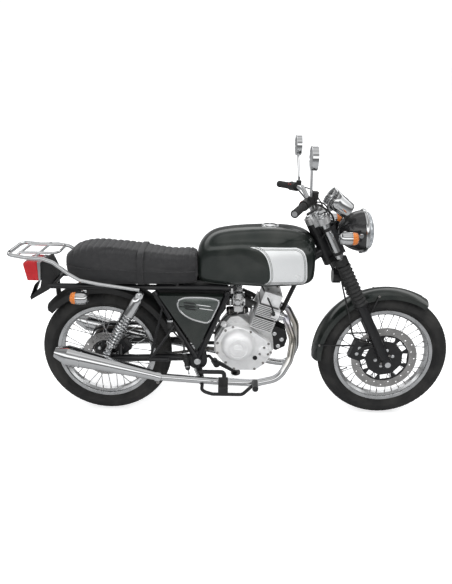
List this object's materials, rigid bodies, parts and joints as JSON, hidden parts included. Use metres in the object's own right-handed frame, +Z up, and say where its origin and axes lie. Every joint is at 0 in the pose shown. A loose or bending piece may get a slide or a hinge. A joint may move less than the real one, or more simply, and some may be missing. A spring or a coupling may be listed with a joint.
{
  "type": "motorcycle",
  "caption": "Light cafe racer motorcycle with wire wheels, sculpted tank, long seat, rear rack and side stand; its wheels turn, its fork steers and its stand folds",
  "frame": {"origin": "on the ground at the centre of the footprint box", "axes": "+X ahead along the machine, +Y to the rider's left, towards which it leans on its stand, +Z up"},
  "size_m": [2.1014, 0.8041, 1.375],
  "materials": {
    "paint": "gloss metallic",
    "frame_black": "satin",
    "cast_alloy": "satin cast",
    "bright_chrome": "mirror polished",
    "alloy_wheel": "polished",
    "steel": "brushed",
    "tyre_rubber": "matt",
    "soft_rubber": "matt",
    "seat_cover": "fine grain",
    "lens_red": "clear gloss",
    "black_plastic": "fine texture"
  },
  "bodies": {
    "root": {"frame_spine": "frame_black", "seat_rails": "frame_black", "side_frames": "frame_black", "tank": "paint", "tank_cap": "bright_chrome", "seat": "seat_cover", "side_covers": "paint", "crankcase": "cast_alloy", "cylinder": "cast_alloy", "cylinder_head": "cast_alloy", "clutch_cover": "cast_alloy", "alternator_cover": "cast_alloy", "carburettors": "cast_alloy", "air_box": "black_plastic", "exhaust_right": "bright_chrome", "exhaust_left": "bright_chrome", "swingarm": "frame_black", "pivot_bolt": "steel", "rear_axle": "steel", "shocks": "bright_chrome", "rear_mudguard": "black_plastic", "tail_lamp": "lens_red", "plate_holder": "black_plastic", "rack": "bright_chrome", "footpegs": "soft_rubber", "foot_levers": "black_plastic", "chain": "steel", "chain_guard": "black_plastic", "rear_indicators": "bright_chrome", "rear_caliper": "cast_alloy", "stand_bracket": "frame_black"},
    "steering": {"fork_sliders": "frame_black", "fork_tubes": "bright_chrome", "gaiters": "soft_rubber", "yokes": "frame_black", "front_axle": "steel", "front_mudguard": "paint", "headlamp": "bright_chrome", "headlamp_brackets": "frame_black", "clocks": "bright_chrome", "handlebar": "bright_chrome", "grips": "soft_rubber", "hand_controls": "black_plastic", "mirrors": "bright_chrome", "front_indicators": "bright_chrome", "front_caliper": "cast_alloy", "horn": "black_plastic"},
    "front_wheel": {"front_tyre": "tyre_rubber", "front_wire_wheel": "alloy_wheel", "front_hub": "frame_black", "front_disc": "steel"},
    "rear_wheel": {"rear_tyre": "tyre_rubber", "rear_wire_wheel": "alloy_wheel", "rear_hub": "frame_black", "rear_disc": "steel"},
    "side_stand": {"side_stand": "frame_black"}
  },
  "joints": [
    {"name": "steering_turn", "type": "hinge", "parent": "root", "child": "steering", "pos_m": [0.39252, -0.00566, 0.87587], "axis": [-0.454, 0.1394, 0.88], "range_deg": [-32, 32]},
    {"name": "front_wheel_spin", "type": "hinge", "parent": "steering", "child": "front_wheel", "pos_m": [0.73225, -0.09446, 0.31522], "axis": [0, 0.9877, -0.1564], "continuous": true},
    {"name": "rear_wheel_spin", "type": "hinge", "parent": "root", "child": "rear_wheel", "pos_m": [-0.63175, -0.09446, 0.31522], "axis": [0, 0.9877, -0.1564], "continuous": true},
    {"name": "side_stand_fold", "type": "hinge", "parent": "root", "child": "side_stand", "pos_m": [-0.09975, 0.02298, 0.16181], "axis": [-0.3219, 0.9351, -0.1481], "range_deg": [0, 105]}
  ]
}
